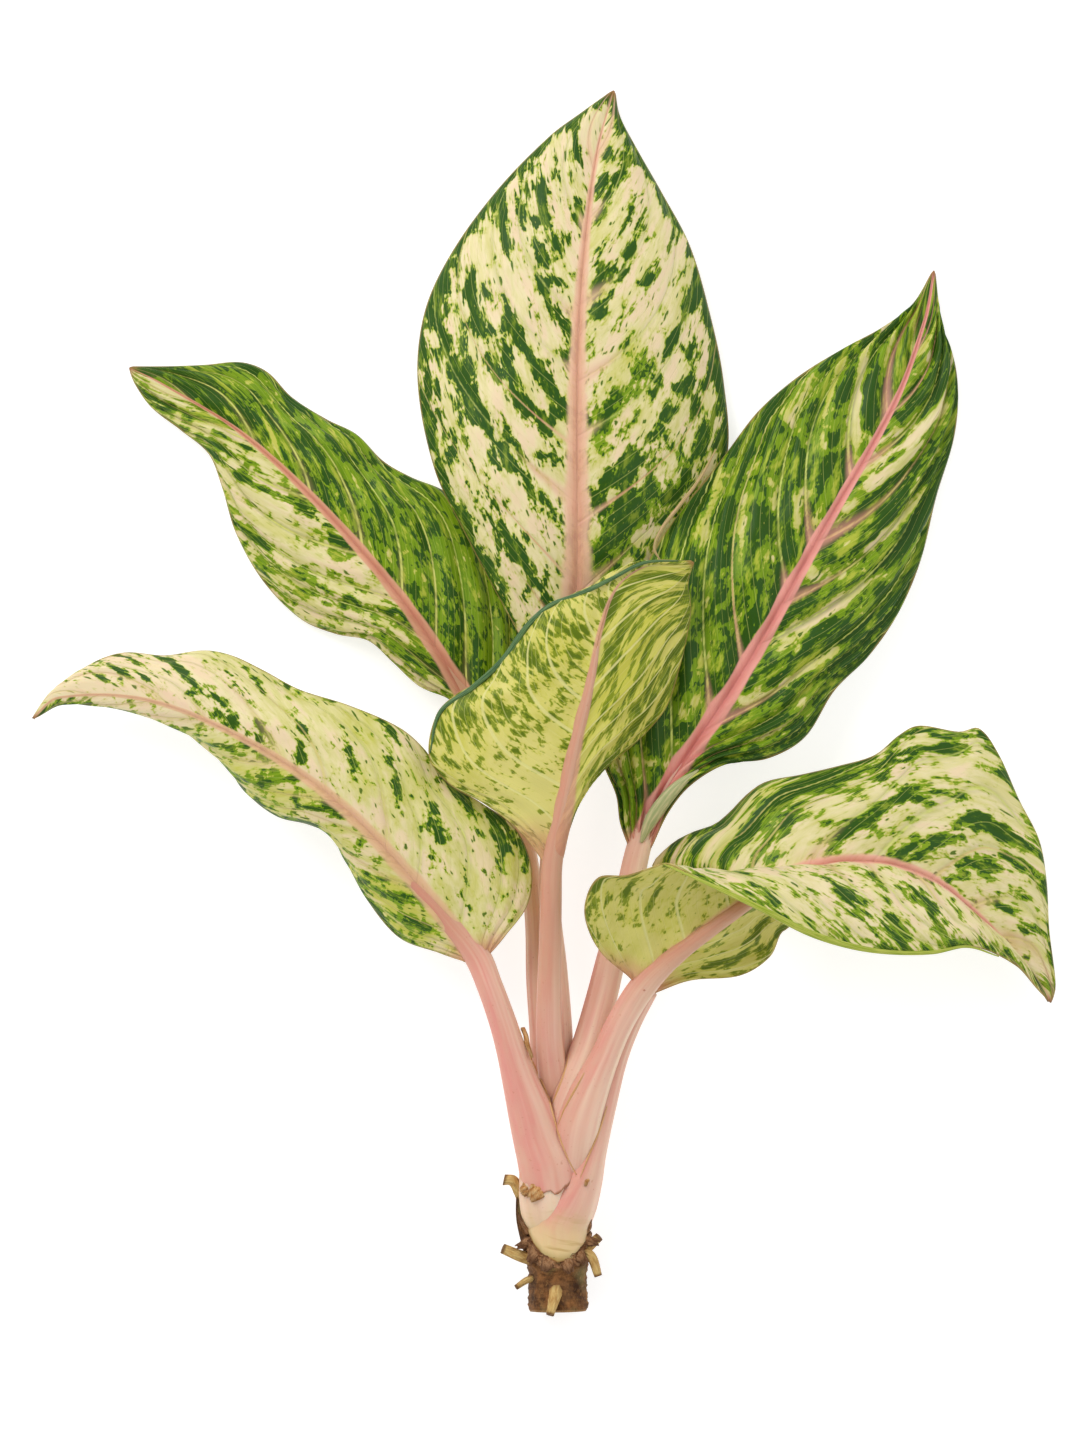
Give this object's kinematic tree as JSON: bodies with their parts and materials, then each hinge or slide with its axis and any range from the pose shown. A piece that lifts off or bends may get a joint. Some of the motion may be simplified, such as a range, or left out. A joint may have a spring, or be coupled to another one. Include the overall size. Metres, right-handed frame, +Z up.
{
  "type": "chinese evergreen cutting",
  "caption": "Bare-rooted cutting of a variegated chinese evergreen, lying on its back: short cane stub with trimmed roots, sheathing pink petioles and broad leaves.",
  "frame": {"origin": "on the surface the plant lies on, below the middle of its bounding box", "axes": "+Y from the cane stub to the tip of the top leaf, +X to the right seen from above, +Z up from the surface"},
  "size_m": [0.3078, 0.3688, 0.0678],
  "materials": {
    "cane": "rough",
    "petiole": "satin",
    "blade_cream": "satin",
    "blade_green": "satin",
    "blade_underside": "matte"
  },
  "bodies": {
    "root": {"stem": "cane", "petiole_top": "petiole", "petiole_left_upper": "petiole", "petiole_right_upper": "petiole", "petiole_front": "petiole", "petiole_left_lower": "petiole", "petiole_right_lower": "petiole", "blade_top": "blade_cream", "blade_left_upper": "blade_green", "blade_right_upper": "blade_green", "blade_front": "blade_underside", "blade_left_lower": "blade_cream", "blade_right_lower": "blade_cream"}
  },
  "joints": []
}
